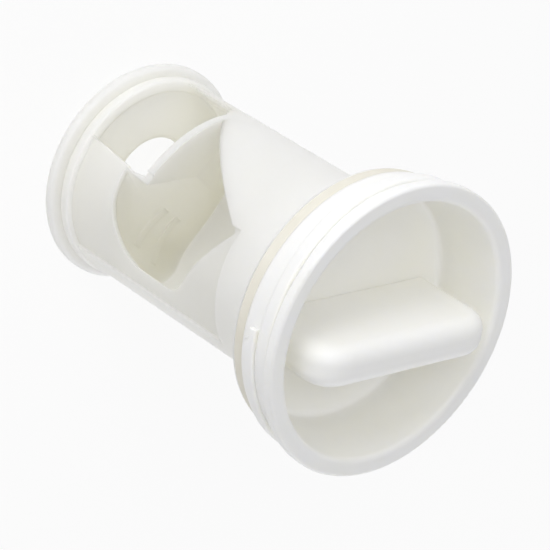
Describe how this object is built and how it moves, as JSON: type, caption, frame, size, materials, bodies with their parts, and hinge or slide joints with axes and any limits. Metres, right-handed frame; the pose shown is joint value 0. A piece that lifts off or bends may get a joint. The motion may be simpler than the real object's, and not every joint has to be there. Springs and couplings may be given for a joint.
{
  "type": "drain pump filter",
  "caption": "Screw-in drain pump filter: threaded cap with a finger bar in its recess, a soft sealing ring and a windowed strainer tube with an inner scoop and an end flange.",
  "frame": {"origin": "centre of the end flange's outer face, on the screw axis", "axes": "+Z along the screw axis from the end flange to the mouth of the cap, -Y towards the strainer tube's window; the filter stands on its end flange"},
  "size_m": [0.062, 0.062, 0.0874],
  "materials": {
    "moulding": "white polypropylene with a soft sheen",
    "seal": "cream elastomer, matt"
  },
  "bodies": {
    "root": {"filter_moulding": "moulding", "sealing_ring": "seal"}
  },
  "joints": []
}
